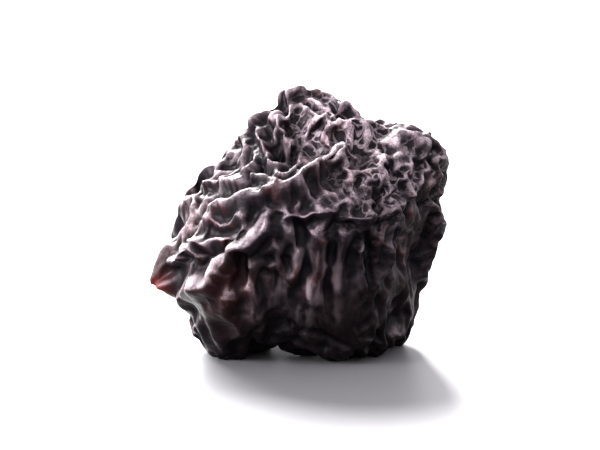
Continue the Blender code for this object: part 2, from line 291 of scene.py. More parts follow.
# Broad unevenness: size, height. The front, which ends at this y, has a smaller share.
BROAD_LUMPS = ((9.0, 1.1), (4.5, 0.5))
FRONT_SHARE_OF_LUMPS = 0.35
FRONT_END, FRONT_BLEND = -8.0, 7.0

# 0 on the front, 1 on the sides that the view doesn't reach.
hidden = smoothly((block[:, 1] - FRONT_END) / FRONT_BLEND)
block_normals = normals(block)


def dented():
    height = TIP_HEIGHT * swelling(towards(TIP_DIRECTION), TIP_RADIUS)
    height -= SCAR_DEPTH * swelling(towards(SCAR_DIRECTION), SCAR_RADIUS)
    for _, across, up, rise, radius in FRONT_HOLLOWS:
        height += rise * swelling(on_front((across, up))[0], radius)
    for _, direction, rise, radius in HIDDEN_HOLLOWS:
        height += rise * swelling(towards(direction), radius)
    share = FRONT_SHARE_OF_LUMPS + (1 - FRONT_SHARE_OF_LUMPS) * hidden
    for seed, (size, rise) in enumerate(BROAD_LUMPS):
        height += rise * share * unevenness(block, size, 3 + seed)
    return block + block_normals * height[:, None]


points = dented()
print("dented to", np.ptp(points, axis=0).round(1), "mm")

# %% [markdown]
# ## Folds that can be named
#
# The large folds of the front are what makes this fruit this one and not another: the ridge
# that climbs from the left to the right shoulder, the curls inside the hollow above it, the
# upright ribs under it. Each is drawn as a route over the front, through a few points, made
# smooth by a curve that passes through all of them.
#
# Raising a worm along each route looks like rope laid on a ball. Dried skin works the other
# way: the ridges stay where the skin was and the flesh sinks away between them. So nothing
# is raised. A fold only marks where the skin isn't lowered.

# %% Routes of the folds
# Height, width, then the route across and up.
FRONT_FOLDS = (
    ("upper ridge", 1.0, 1.2, ((-11.5, 2), (-8, 3), (-5.5, 3.6), (-3, 4.1), (-0.5, 4.8),
                               (1, 5.8), (3, 6.7), (4.8, 7.8), (6.4, 9.4))),
    ("lower left ridge", 1.1, 1.2, ((-12, -7.8), (-12, -6.2), (-11, -5.3), (-9.5, -4.8),
                                    (-8.2, -3.5), (-7, -2.3), (-5, -1.3), (-3.8, 0),
                                    (-3.2, 1.8), (-3.3, 3.6))),
    ("top right rim", 1.0, 1.4, ((0.6, 10.9), (3, 10.6), (5, 9.9), (8, 9.9), (11, 9),
                                 (13.5, 8.2), (15.2, 7.6))),
    ("upper rim", 0.9, 1.2, ((-4.2, 11.8), (-2.6, 12.7), (-0.6, 13.4), (1.4, 13.9),
                             (3.2, 13.6), (4.6, 12.5), (6, 11.6), (8.5, 11))),
    ("outer curl", 0.8, 0.8, ((-4.4, 11.2), (-4.7, 10), (-4.5, 8.9), (-3.6, 7.9),
                              (-2.4, 7.5), (-1, 7.7), (0.2, 8.4))),
    ("inner curl", 0.7, 0.7, ((-2.8, 7.4), (-2.2, 6.6), (-1, 6.4), (0.2, 7.1), (0.6, 8))),
    ("bright curl", 0.9, 0.9, ((-6, 5), (-4.8, 5.6), (-3.6, 5.6), (-2.2, 5.1), (-1, 5.3))),
    ("left curl", 0.7, 0.8, ((-6.6, 9.6), (-5.8, 8.6), (-5.4, 7.3), (-6.1, 6.2),
                             (-7.3, 5.8))),
    ("left rim", 0.7, 0.8, ((-10.2, 4), (-8.6, 4.8), (-7, 5.1), (-6, 5))),
    ("top curl", 0.6, 0.7, ((-2.2, 11.8), (-2, 10.6), (-0.8, 9.6), (0.6, 9.3))),
    ("valley fold", 0.8, 0.8, ((-12.6, -0.2), (-10.8, -0.6), (-9.4, 0), (-8, -0.4),
                               (-7, -1.2))),
    ("tip fold", 0.7, 0.8, ((-14.2, -2.6), (-13, -2.9), (-11.9, -1.4), (-11.2, -2.6),
                            (-11.3, -4.4))),
    ("upper valley fold", 0.7, 0.8, ((-11.6, 1.6), (-10, 1.9), (-8.2, 1.4), (-6.6, 1.9),
                                     (-5.2, 0.8))),
    ("middle rib", 0.8, 1.1, ((1.4, 0.8), (2.2, -1), (2.3, -3.6), (1.8, -6), (1.2, -8))),
    ("left rib", 0.6, 0.9, ((-0.9, 0.6), (-0.1, -1.5), (0.2, -3.6), (-0.6, -6.2))),
    ("right rib", 0.6, 1.0, ((5.6, 0.6), (5.2, -2), (4.6, -4.6), (4.2, -7.4))),
    ("short rib", 0.6, 0.9, ((6.9, -1.6), (7.3, -4.2), (8, -6.6))),
    ("edge rib", 0.7, 0.8, ((10.6, -1.2), (10.4, -3.2), (9.6, -4.8), (8.6, -6.4))),
    ("upper lobe rib", 0.5, 0.9, ((-7.2, -3.8), (-7, -5.4), (-7.2, -7))),
    ("lobe rib", 0.6, 0.9, ((-4.4, -2.4), (-4.9, -4.6), (-4.4, -6.6), (-4.2, -8.2),
                            (-3, -9.8))),
    ("net edge", 0.8, 0.9, ((4.6, 1.3), (6.6, 1.4), (8.6, 1.3), (10.6, 1.6), (12.2, 2.9),
                            (13.6, 4.6), (14.4, 6.6))),
    ("panel top", 0.6, 0.8, ((-1.6, 1.4), (0.6, 1.2), (2.8, 2), (4.4, 1.6))),
)

# Two creases are sunk instead.
FRONT_CREASES = (
    ("under crease", 0.6, 0.7, ((0.6, -10.2), (3, -11), (6.8, -12))),
    ("waist crease", 0.5, 0.7, ((-5, -11.4), (-3, -10.6), (-0.6, -10.1))),
)


def smooth_route(points, step=0.35):
    """A smooth curve through the points, with a point about every step."""
    points = np.asarray(points, float)
    padded = np.vstack((2 * points[0] - points[1], points, 2 * points[-1] - points[-2]))
    pieces = []
    for a, b, c, d in zip(padded, padded[1:], padded[2:], padded[3:]):
        count = max(2, int(np.linalg.norm(c - b) / step))
        t = np.linspace(0, 1, count, endpoint=False)[:, None]
        bend = (2 * a - 5 * b + 4 * c - d) * t**2 + (3 * b - a - 3 * c + d) * t**3
        pieces.append(0.5 * (2 * b + (c - a) * t + bend))
    return np.vstack(pieces + [points[-1:]])


print(len(FRONT_FOLDS), "folds and", len(FRONT_CREASES), "creases on the front")

# %% Height of a fold beside its route
CREST_SHARE, FOOT_SPREAD = 0.7, 2.4
END_HEIGHT, END_LENGTH = 0.2, 0.2


def profile(gap, width):
    """From 1 on the route to 0 away from it: a narrow crest on a wider foot."""
    narrow = np.exp(-((gap / width) ** 2))
    wide = np.exp(-((gap / (FOOT_SPREAD * width)) ** 2))
    return CREST_SHARE * narrow + (1 - CREST_SHARE) * wide


def fold(route, width):
    """The fold along a route, from 0 to 1 at each point of the block. Its ends taper off."""
    middle = route.mean(axis=0)
    reach = np.linalg.norm(route - middle, axis=1).max() + 2 * FOOT_SPREAD * width
    near = np.flatnonzero(np.linalg.norm(block - middle, axis=1) < reach)
    gaps = np.linalg.norm(block[near, None, :] - route[None, :, :], axis=2)
    along = np.linspace(0, 1, len(route))
    taper = END_HEIGHT + (1 - END_HEIGHT) * smoothly(np.minimum(along, 1 - along) / END_LENGTH)
    height = np.zeros(len(block))
    height[near] = taper[gaps.argmin(axis=1)] * profile(gaps.min(axis=1), width)
    return height


print("two widths off its route, a fold is", profile(2, 1).round(2), "of its height")

# %% [markdown]
# ## Folds that can't be named
#
# The back, the sides and the space between the named folds have wrinkles too, and no one
# could draw them all. A net of seams between scattered cells gives them: Blender's Voronoi
# noise tells how far the nearest few cell middles are, and where two are equally far there
# is a seam. The places are stirred with smooth noise first, so that the seams bend, and the
# cells are stretched upright.
#
# Round the stalk's scar the skin is gathered like cloth round a button, in short folds that
# run outwards.

# %% The net of seams
# Cell width, how much taller than wide, depth, seed, then the size and reach of the stirring.
LARGE_WRINKLES = (4.4, 1.9, 2.0, 1, 7.0, 1.7)
SMALL_WRINKLES = (2.1, 1.6, 0.85, 2, 3.2, 0.7)

SEAM_SHARE = 0.33
SEAM_HEIGHT, SEAM_SPREAD, SEAM_CHANGE = 0.62, 0.38, (5.1, 7.3, 6.1)
CELLS_SEED_STEP = 7.7


def stirred(points, size, reach, seed):
    moves = [noise.noise_vector(Vector(p)) for p in points / size + SEED_STEP * seed]
    return points + reach * np.array(moves)


def net(wrinkles, seam_share=SEAM_SHARE):
    """Seams around cells, from 0 in a cell's middle to 1 on a full seam. Seams differ."""
    width, tallness, _, seed, stir_size, stir_reach = wrinkles
    placed = stirred(block, stir_size, stir_reach, seed) / width
    placed[:, 2] /= tallness
    found = [noise.voronoi(Vector(p)) for p in placed + CELLS_SEED_STEP * seed]
    gaps = np.array([each[0] for each in found])
    sites = np.array([[tuple(site) for site in each[1]] for each in found])
    value = np.zeros(len(block))
    for other in (1, 2, 3):
        apart = np.linalg.norm(sites[:, other] - sites[:, 0], axis=1)
        to_seam = width * (gaps[:, other] ** 2 - gaps[:, 0] ** 2) / (2 * apart)
        between = sites[:, other] + sites[:, 0]
        height = SEAM_HEIGHT + SEAM_SPREAD * np.sin(between @ np.array(SEAM_CHANGE))
        value += (height * np.exp(-((to_seam / (seam_share * width)) ** 2))) ** 2
    return np.sqrt(value / (1 + 0.5 * value * value))


SEED = 2
noise.seed_set(SEED)
started = time.perf_counter()
large_net, small_net = net(LARGE_WRINKLES), net(SMALL_WRINKLES)
print("two nets in", round(time.perf_counter() - started, 1), "s")

# %% The gathers round the scar
SCAR_FOLDS, SCAR_RING, SCAR_FOLD_LENGTH = 9, 1.7, 4.2
SCAR_FOLD_HEIGHT, SCAR_FOLD_WIDTH = 0.55, 0.85
SCAR_FOLD_CHANGE, SCAR_FOLD_BEND, SCAR_FOLD_POINTS = 0.25, 0.12, 6


def scar_routes():
    """Routes that run outwards from the scar. No two are equally long, and no two bend alike."""
    middle = towards(SCAR_DIRECTION)
    outward = unit(middle)
    side = unit(np.cross(outward, (0, 0, 1)))
    up = np.cross(side, outward)
    for k in range(SCAR_FOLDS):
        turn = 2 * math.pi * k / SCAR_FOLDS
        share = 1 - SCAR_FOLD_CHANGE + SCAR_FOLD_CHANGE * math.sin(5 * k)
        steps = SCAR_RING + SCAR_FOLD_LENGTH * share * np.linspace(0, 1, SCAR_FOLD_POINTS)
        angles = turn + SCAR_FOLD_BEND * math.sin(3 * k) * steps
        spread = np.cos(angles)[:, None] * side + np.sin(angles)[:, None] * up
        yield plump(unit(middle + steps[:, None] * spread))


print("the scar's folds meet round", towards(SCAR_DIRECTION).round(1))

# %% [markdown]
# ## Carving
#
# The large carve lowers everything that isn't on a fold. Where folds cross, a sum would
# pile up, and the larger of the two would leave a knife edge. The cube root of a sum of
# cubes lies between, and rounds the crossing.
#
# The small carve then goes down between the small seams. It is shallower on the steep
# flanks, where a deep cut would come out through the other side of the fold.
#
# The wrinkles aren't as high everywhere. The places where they change are in two short lists.

# %% Where the wrinkles are lower or higher
# Name, middle, reach, change.
LARGE_WRINKLE_AREAS = (
    ("upper left hollow", (-2.5, -8.0, 9.5), 4.5, -0.75),
    ("lower left lobe", (-9.0, -9.0, -8.0), 5.0, -0.3),
    ("front", (3.5, -12.0, -6.0), 7.0, -0.4),
    ("lower front", (3.0, -9.0, -12.0), 5.0, -0.4),
)
SMALL_WRINKLE_AREAS = (
    ("net shoulder", (9.0, -10.0, 6.5), 6.0, 0.2),
    ("lower left lobe", (-8.0, -9.0, -9.0), 5.5, -0.85),
    ("dark right flank", (14.0, -3.0, -4.0), 6.0, -0.4),
    ("front", (3.5, -12.0, -6.0), 7.0, -0.6),
    ("lower front", (3.0, -9.0, -12.0), 5.0, -0.4),
    ("upper left hollow", (-2.5, -8.0, 9.5), 4.0, -0.45),
)


def share_of(areas):
    """1 over the block, raised or lowered near each of the places."""
    share = np.ones(len(block))
    for _, middle, reach, change in areas:
        share *= 1 + change * swelling(np.array(middle), reach)
    return share


least = share_of(SMALL_WRINKLE_AREAS).min()
print("the small wrinkles keep at least", least.round(2), "of their depth")

# %% Carve in two sizes, along the normals
FRONT_SHARE_OF_LARGE = 0.5
LEAST_FACING = 0.2


def carved_large(points):
    share = FRONT_SHARE_OF_LARGE + (1 - FRONT_SHARE_OF_LARGE) * hidden
    raised = (share * share_of(LARGE_WRINKLE_AREAS) * large_net) ** 3
    for _, height, width, seen in FRONT_FOLDS:
        raised += (height * fold(smooth_route(on_front(seen)), width)) ** 3
    for route in scar_routes():
        raised += (SCAR_FOLD_HEIGHT * fold(smooth_route(route), SCAR_FOLD_WIDTH)) ** 3
    height = LARGE_WRINKLES[2] * (raised ** (1 / 3) - 1)
    for _, depth, width, seen in FRONT_CREASES:
        height -= depth * fold(smooth_route(on_front(seen)), width)
    return points + unit(block_normals + normals(points)) * height[:, None]


def carved_small(points):
    outward = normals(points)
    facing = np.clip((block_normals * outward).sum(axis=1), LEAST_FACING, 1)
    height = SMALL_WRINKLES[2] * share_of(SMALL_WRINKLE_AREAS) * facing * (small_net - 1)
    return points + unit(block_normals + outward) * height[:, None]


points = carved_small(carved_large(points))
print("carved to", np.ptp(points, axis=0).round(1), "mm")

# %% [markdown]
# ## Neighbours
#
# The next steps move each point by what its neighbours do. On a grid of quads a point has
# four neighbours along its edges and four across its faces, and a table of their numbers
# lets numpy treat all points at once. The eight corners of the old cube have one neighbour
# fewer, and stand in for the missing one themselves.

# %% Tables of neighbours
def neighbour_table(pairs):
    both = np.vstack((pairs, pairs[:, ::-1]))
    both = both[np.argsort(both[:, 0], kind="stable")]
    first = np.searchsorted(both[:, 0], np.arange(len(ball)))
    table = np.repeat(np.arange(len(ball))[:, None], 4, axis=1)
    table[both[:, 0], np.arange(len(both)) - first[both[:, 0]]] = both[:, 1]
    return table.T.copy()


beside = np.vstack([quads[:, [corner, (corner + 1) % 4]] for corner in range(4)])
along_edges = neighbour_table(np.unique(np.sort(beside, axis=1), axis=0))
across_faces = neighbour_table(np.vstack((quads[:, [0, 2]], quads[:, [1, 3]])))


def pull(values):
    """How much more the neighbours have than the point, with the weights of a 3 by 3 stencil."""
    near = sum(values[row] for row in along_edges)
    far = sum(values[row] for row in across_faces)
    return (4 * near + far - 20 * values) / 6


def evened(values, passes):
    for _ in range(passes):
        values = values + pull(values) / 8
    return values


EVENING_PASSES = 2
points = evened(points, EVENING_PASSES)
spacing = np.linalg.norm(points[along_edges[0]] - points, axis=1).mean()
print("points are about", spacing.round(3), "mm apart")

# %% [markdown]
# ## Fit to the frame
#
# The form now takes exactly the solid's length, depth and height, and its foot goes a
# little below the ground, where a later step flattens it.

# %% Fit to the box
FLAT_DEPTH = 1.0


def fitted(points):
    lowest, highest = points.min(axis=0), points.max(axis=0)
    lowest[2] += FLAT_DEPTH
    size = np.array((LENGTH, DEPTH, HEIGHT))
    points = (points - (lowest + highest) / 2) * size / (highest - lowest)
    return points + (low + high) / 2


points = fitted(points)
form = points.copy()
print("fitted from", points.min(axis=0).round(1), "to", points.max(axis=0).round(1))

# %% [markdown]
# ## The skin buckles
#
# Up to here each wrinkle was placed. The last ones are left to make themselves, as they do
# on the fruit. The skin is a stiff sheet glued to soft flesh. It is larger than what it
# covers, so it has to buckle. How far apart its wrinkles come follows from how hard it is to
# bend and how hard to lift off the flesh, and their height from how much too large it is.
#
# Blender's Cloth could do it, but it would need many frames at this fineness. A plain
# relaxation is enough: springs along and across every face that want to be too long, a
# stiffness against bending, and the flesh, which holds each point where it was. It can be
# lifted a little more easily than pushed in. A tiny unrest at the start gives each wrinkle a
# side to bend to.

# %% Springs along and across the faces
ACROSS_STIFFNESS = 0.5
spring_ends = np.vstack((along_edges, across_faces))
spring_stiffness = np.repeat((1, ACROSS_STIFFNESS), 4)


def wanted_lengths(start, growth, ribbing):
    """What each spring wants to measure. With ribbing, sideways springs grow the most."""
    wanted = []
    for ends in spring_ends:
        apart = start[ends] - start
        length = np.linalg.norm(apart, axis=1) + 1e-9
        sideways = (apart[:, 0] / length) ** 2
        wanted.append(length * (1 + growth * (1 + ribbing * (2 * sideways - 1))))
    return wanted


print(len(spring_ends), "springs meet at each point")

# %% Let the skin settle on the flesh
FLESH_INWARD, FLESH_SIDEWAYS = 1.2, 0.1
SET = 0.6
STEP, MOMENTUM = 0.1, 0.9
UNREST, UNREST_SEED = 0.004, 7


def buckled(points, growth, ribbing, bending, flesh, rounds):
    """The points once the grown skin has settled, and how far each is lifted."""
    start = points.astype(np.float32)
    outward = normals(points).astype(np.float32)
    wanted = wanted_lengths(start, growth, ribbing)
    curve = SET * pull(start)
    unrest = np.random.default_rng(UNREST_SEED).normal(0, UNREST, len(start))
    place = start + outward * unrest[:, None].astype(np.float32)
    speed = np.zeros_like(place)
    for _ in range(rounds):
        force = -bending * pull(pull(place) - curve)
        for ends, length, hard in zip(spring_ends, wanted, spring_stiffness):
            apart = place[ends] - place
            now = np.sqrt(np.einsum("ij,ij->i", apart, apart)) + 1e-9
            force += apart * (hard * (1 - length / now))[:, None]
        away = place - start
        lift = np.einsum("ij,ij->i", away, outward)
        hold = flesh * np.where(lift < 0, FLESH_INWARD, 1)
        force -= outward * ((hold - FLESH_SIDEWAYS * flesh) * lift)[:, None]
        force -= FLESH_SIDEWAYS * flesh * away
        speed = MOMENTUM * speed + STEP * force
        place = place + speed
    return place.astype(float), lift


print("the flesh resists a push", FLESH_INWARD, "times as hard as a lift")

# %% [markdown]
# ## Where the skin buckles less
#
# Thick skin over firm flesh keeps its form. On this fruit that is so on the front below the
# ridges, on the lower left lobe, in the hollow at the upper left and on the shaded right
# flank. A painted map could say so, but a short list is easier to read and to change: each
# place has a middle, a reach and the change of the growth there.
#
# The large wrinkles of the front run upright, as ribs do, and no two are equally deep. So the
# growth is larger sideways on the front, and it varies in patches everywhere.

# %% Growth, stiffness and places
GROWTH, BENDING, FLESH, ROUNDS = 0.15, 0.25, 0.0116, 240
FINE_GROWTH, FINE_BENDING, FINE_FLESH, FINE_ROUNDS = 0.1, 0.06, 0.05, 120
FRONT_RIBBING = 0.45
PATCHINESS, PATCH_SIZE, PATCH_SEED = 0.5, 5.0, 9

# Name, middle, reach, change.
GROWTH_AREAS = (
    ("net shoulder", (9.0, -10.0, 6.5), 6.0, -0.5),
    ("lower left lobe", (-9.0, -9.0, -8.0), 5.5, -1.0),
    ("tip", (-14.5, -2.5, -4.4), 3.0, -0.6),
    ("dark right flank", (14.0, -3.0, -4.0), 6.0, -0.8),
    ("front", (3.5, -12.0, -6.0), 8.0, -0.85),
    ("lower front", (3.0, -9.0, -12.0), 5.0, -0.6),
    ("upper left hollow", (-2.5, -9.0, 9.0), 5.0, -0.75),
    ("left flank", (-11.0, -6.0, 2.0), 6.0, -0.45),
    ("upper ridge", (-2.0, -11.0, 4.5), 5.0, -0.45),
)
FINE_AREAS = (
    ("net shoulder", (9.0, -10.0, 6.5), 6.0, 0.3),
    ("upper left hollow", (-2.5, -9.0, 9.0), 4.5, -0.4),
    ("lower left lobe", (-9.0, -9.0, -8.0), 5.5, -0.9),
    ("front", (3.5, -12.0, -6.0), 8.0, -0.7),
)


def grown(growth, areas):
    patchy = 1 + PATCHINESS * unevenness(block, PATCH_SIZE, PATCH_SEED)
    return (growth * patchy * share_of(areas)).astype(np.float32)


# A stiff flat sheet on a soft bed buckles in waves of this length.
for size, bending, flesh in (("large", BENDING, FLESH), ("fine", FINE_BENDING, FINE_FLESH)):
    apart = 2 * math.pi * (bending / flesh) ** 0.25 * spacing
    print("a flat sheet would buckle every", round(apart, 1), "mm with the", size, "settings")

# %% [markdown]
# ## The raised net
#
# The right shoulder of this fruit has a feature that the buckling can't make: a net of thin
# raised seams, with dark cells between them a millimetre and a half wide. It comes from a
# third set of cells, with narrower seams. It is full on the shoulder and fades elsewhere.
#
# It is raised between the two bucklings, so that the second one, which is finer, rumples the
# net too.

# %% Fine seams, and where they are
FINE_WRINKLES = (1.5, 1.2, 0.45, 4, 2.4, 0.6)
FINE_SEAM_SHARE, FINE_SEAM_MIDDLE = 0.2, 0.5
# Name, middle, reach, share.
FINE_NET_AREAS = (
    ("net shoulder", (10.0, -9.5, 6.5), 5.5, 1.0),
    ("top", (4.0, -5.0, 12.0), 6.0, 0.6),
    ("right side", (14.0, 2.0, 4.0), 7.0, 0.6),
)
FINE_NET_ELSEWHERE, FINE_NET_ON_FRONT = 0.4, 0.15


def spread_over(areas):
    """The largest share that any of the places gives to each point."""
    shares = [most * swelling(np.array(middle), reach) for _, middle, reach, most in areas]
    return np.maximum.reduce(shares)


def with_fine_net(points):
    share = FINE_NET_ON_FRONT + (FINE_NET_ELSEWHERE - FINE_NET_ON_FRONT) * hidden
    share = np.maximum(share, spread_over(FINE_NET_AREAS))
    seams = net(FINE_WRINKLES, FINE_SEAM_SHARE) - FINE_SEAM_MIDDLE
    return points + normals(points) * (FINE_WRINKLES[2] * share * seams)[:, None]


strong_net = (spread_over(FINE_NET_AREAS) > 0.5).mean()
print("the fine net is strong on", round(100 * strong_net), "% of the points")

# %% Buckle, raise the net, buckle again
started = time.perf_counter()
ribbing = (FRONT_RIBBING * (1 - hidden)).astype(np.float32)
points, lift = buckled(points, grown(GROWTH, GROWTH_AREAS), ribbing, BENDING, FLESH, ROUNDS)
print("large wrinkles from", lift.min().round(2), "to", lift.max().round(2), "mm")
points = with_fine_net(points)
fine_growth = grown(FINE_GROWTH, FINE_AREAS)
points, lift = buckled(points, fine_growth, 0 * ribbing, FINE_BENDING, FINE_FLESH, FINE_ROUNDS)
print("fine wrinkles from", lift.min().round(2), "to", lift.max().round(2), "mm")
print("buckled in", round(time.perf_counter() - started, 1), "s")

# %% [markdown]
# ## The foot
#
# Where the fruit rests, its own weight has pressed the skin flat. Every point that the
# shaping left below the ground is brought up to it. Then the mesh takes the points.
#
# The piece stands for the solid of the frame and hides it, so the two have to lie close.

# %% Flatten the foot and make the piece
points[:, 2] = np.maximum(points[:, 2], low[2])
print("the skin is at most", np.linalg.norm(points - form, axis=1).max().round(1), "mm off the form")

skin.vertices.foreach_set("co", (points * MM).astype(np.float32).ravel())
skin.update()
skin.shade_smooth()
prune = bpy.data.objects.new("prune_skin", skin)
bpy.context.scene.collection.objects.link(prune)
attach(prune, "root")
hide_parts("prune")

# %% [markdown]
# ## Crests and valleys
#
# Dust and wax stay on the crests of the folds, and the valleys between them are painted
# darker, as painted shade. So the finish has to know which points stand out from their
# neighbourhood. The Geometry node has a pointiness, but that looks no further than the next
# points. Here the skin is compared with a copy that has been evened out, and the difference is
# kept on the mesh as an attribute that a material can read. Which way the skin faces is kept
# too, because dust settles from above, and because the bloom is painted paler on what faces up
# and left off what faces down, as painted light and shade.

# %% Crests and valleys as an attribute
CREST_PASSES, CREST_FULL = 40, 0.22


def keep(name, values):
    kept = skin.attributes.new(name, "FLOAT", "POINT")
    kept.data.foreach_set("value", values.astype(np.float32))


outward = normals(points)
crests = ((points - evened(points, CREST_PASSES)) * outward).sum(axis=1)
keep("crest", 0.5 + crests / (2 * CREST_FULL))
keep("upward", outward[:, 2])
print("crests stand out by", np.percentile(crests, 98).round(3), "mm")
print("valleys lie back by", -np.percentile(crests, 2).round(3), "mm")

# %% [markdown]
# ## Places with a finish of their own
#
# A shader can't tell the tip from the shoulder. Vertex paint could mark them, but nobody can
# read paint in a script. The lists of places from before can be used again: each one gives
# the share of a finish, full at a middle and fading with distance.
#
# The skin is thin at the very tip, and it is painted red there, as a glow of light shining
# through it. A trace of the painted red glow shows on the left.

# %% Thin skin, and the painted glow through it
# Name, middle, reach, share.
THIN_SKIN_GLOW_AREAS = (
    ("tip", (-13.7, -2.4, -4.4), 1.05, 1.0),
    ("ridge by the tip", (-7.0, -11.0, -3.0), 2.2, 0.05),
    ("left edge", (-13.0, -4.5, 3.0), 3.0, 0.04),
    ("lower left", (-8.0, -10.0, -7.0), 5.0, 0.015),
)
thin_skin_glow = spread_over(THIN_SKIN_GLOW_AREAS)
keep("thin_skin_glow", thin_skin_glow)
print("the skin is red on", round(100 * (thin_skin_glow > 0.2).mean(), 2), "% of the points")

# %% [markdown]
# On the shoulder and the top, the bloom lies in pale threads over the raised net, and the
# threads also stand in for the light on its seams, as painted highlights. They are finer than the
# mesh can show, so the shader draws them, and this list says where. The hollow at the upper
# left has hardly any.

# %% Threads in the net
NET_AREAS = (
    ("net shoulder", (10.0, -9.5, 6.5), 6.0, 1.0),
    ("top", (5.0, -4.0, 12.0), 6.0, 0.9),
    ("right side", (14.0, 2.0, 5.0), 7.0, 0.7),
    ("back", (0.0, 12.0, 4.0), 9.0, 0.4),
)
BARE_HOLLOW, BARE_REACH = (-2.5, -8.0, 9.0), 4.5
netted = spread_over(NET_AREAS) * (1 - swelling(np.array(BARE_HOLLOW), BARE_REACH))
keep("netted", netted)
print("threads on", round(100 * (netted > 0.2).mean()), "% of the points")

# %% [markdown]
# The bloom is thick on the rims that nothing has touched, and it is made paler still there, as a
# painted highlight of the light from behind. It is taken off the front and the right, where the
# fruit is nearly black, and thinned in the hollow and on the lower left lobe, as painted shade.
# The back and the left side have little of it as well, because they stand in the full sun of
# this picture, where a pale dust would look like snow. A few long pale streaks run down the
# ribs of the front, as painted highlights.

# %% How much bloom and painted light, and where
USUAL_BLOOM = 0.6
BACK_START, BACK_BLEND, BACK_LOSS = -3.0, 8.0, 0.9
# Where the pale streaks of painted highlight run down the ribs of the front.
RIB_HIGHLIGHTS_MIDDLE, RIB_HIGHLIGHTS_REACH = (1.8, -13.0, -3.0), 4.2

# Name, middle, reach, change.
# Rims raised as painted highlight; front, right flank, hollow and lobe lowered as painted shade.
BLOOM_AND_SHEEN_AREAS = (
    ("shoulder rim", (12.0, -5.0, 9.5), 4.5, 1.0),
    ("top rim", (1.0, -4.5, 13.0), 5.0, 1.3),
    ("upper ridge", (-2.0, -11.0, 4.5), 3.5, 0.4),
    ("ridge by the tip", (-9.0, -10.0, -4.0), 3.0, 0.9),
    ("shoulder", (9.0, -10.5, 6.0), 4.5, -0.25),
    ("low net", (8.0, -12.0, 2.5), 3.5, -0.45),
    ("upper left hollow", (-3.0, -8.5, 9.0), 5.0, -0.8),
    ("front right", (9.0, -11.0, -5.0), 5.5, -0.7),
    ("front low", (4.0, -11.0, -11.0), 7.0, -0.95),
    ("dark right flank", (14.0, -5.0, -4.0), 6.0, -0.8),
    ("lower left lobe", (-9.0, -9.0, -8.0), 5.0, -0.65),
    ("sunny left side", (-13.5, 2.5, -2.0), 6.5, -0.8),
)
in_sun = smoothly((block[:, 1] - BACK_START) / BACK_BLEND)
bloom_and_sheen_share = USUAL_BLOOM * share_of(BLOOM_AND_SHEEN_AREAS) * (1 - BACK_LOSS * in_sun)
keep("bloom_and_sheen_share", bloom_and_sheen_share)
# The share of the painted highlights on the ribs.
keep("rib_highlight_share", swelling(np.array(RIB_HIGHLIGHTS_MIDDLE), RIB_HIGHLIGHTS_REACH))
print("the bloom's strength goes from", bloom_and_sheen_share.min().round(2), "to", bloom_and_sheen_share.max().round(2))

# %% [markdown]
# ## The dried skin's finish
#
# Dried plum skin is nearly black, and what colour it has is purple, brown where it is thin.
# It isn't glossy like plastic: a fine grain breaks the light up, and the bloom is dull. A
# photograph wrapped round it would show its seams. One Principled shader can be all of this,
# if its colour, its roughness and its bump follow noise and the numbers kept on the mesh.
#
# A node tree made in a script takes many lines, so a few helpers come first. One makes a
# node of any kind. The others make one kind each, and return the socket that the next node
# needs.

# %% Short names for nodes
def node(tree, kind, inputs, **settings):
    made = tree.nodes.new(kind)
    for name, value in settings.items():
        setattr(made, name, value)
    for name, value in inputs.items():
        if isinstance(value, bpy.types.NodeSocket):
            tree.links.new(value, made.inputs[name])
        else:
            made.inputs[name].default_value = value
    return made


def kept_value(tree, name):
    return node(tree, "ShaderNodeAttribute", {}, attribute_name=name).outputs["Fac"]


def combined(tree, operation, first, *others):
    for other in others:
        made = node(tree, "ShaderNodeMath", {0: first, 1: other}, operation=operation)
        first = made.outputs[0]
    return first


def moved(tree, operation, place, by):
    made = node(tree, "ShaderNodeVectorMath", {0: place, 1: by}, operation=operation)
    return made.outputs[0]


def blend(tree, share, first, second):
    made = node(tree, "ShaderNodeMix", {0: share, 6: first, 7: second}, data_type="RGBA")
    return made.outputs[2]


print("helpers:", *(helper.__name__ for helper in (node, kept_value, combined, moved, blend)))

# %% Short names for noise
def ramp(tree, value, start, end, least=0.0, most=1.0):
    """The value taken smoothly from one range to another."""
    made = node(tree, "ShaderNodeMapRange",
                {"Value": value, "From Min": start, "From Max": end, "To Min": least,
                 "To Max": most}, interpolation_type="SMOOTHSTEP")
    return made.outputs["Result"]


def lumps(tree, place, size, detail, rough):
    """Smooth noise with lumps of a size in millimetres, mostly between 0.3 and 0.7."""
    made = node(tree, "ShaderNodeTexNoise", {"Vector": place, "Scale": 1 / (size * MM),
                                             "Detail": detail, "Roughness": rough})
    return made.outputs["Fac"]


def mottle(tree, place, size, detail, rough, start, end, least, most):
    """Lumps that count from start to end of the noise, and give the least to the most."""
    return ramp(tree, lumps(tree, place, size, detail, rough), start, end, least, most)


print("helpers:", *(helper.__name__ for helper in (ramp, lumps, mottle)))

# %% [markdown]
# The colour comes in layers, from the flesh outwards. Purple and brown change over in large
# patches. A maroon blush shows here and there, but not low down, where the fruit lay; there the
# colour is painted darker, as painted shade. The valleys are painted darker than the crests, as
# painted shade. Last comes the red of the thin skin, a painted glow of light shining through it.

# %% The colour below the bloom
# The colour of the painted shade, in the valleys and low down.
PAINTED_SHADE = (0.0036, 0.0027, 0.0036, 1)
PURPLE = (0.0085, 0.0056, 0.0080, 1)
BROWN = (0.0115, 0.0063, 0.0066, 1)
MAROON = (0.034, 0.009, 0.010, 1)
# The red of the painted glow through the thin skin.
GLOW_RED = (0.22, 0.022, 0.011, 1)

# Size, detail, roughness, start, end, least, most.
PATCHES = (7.0, 2.0, 0.5, 0.38, 0.62, 0.0, 1.0)
BLUSH = (3.2, 3.0, 0.5, 0.54, 0.68, 0.0, 0.6)
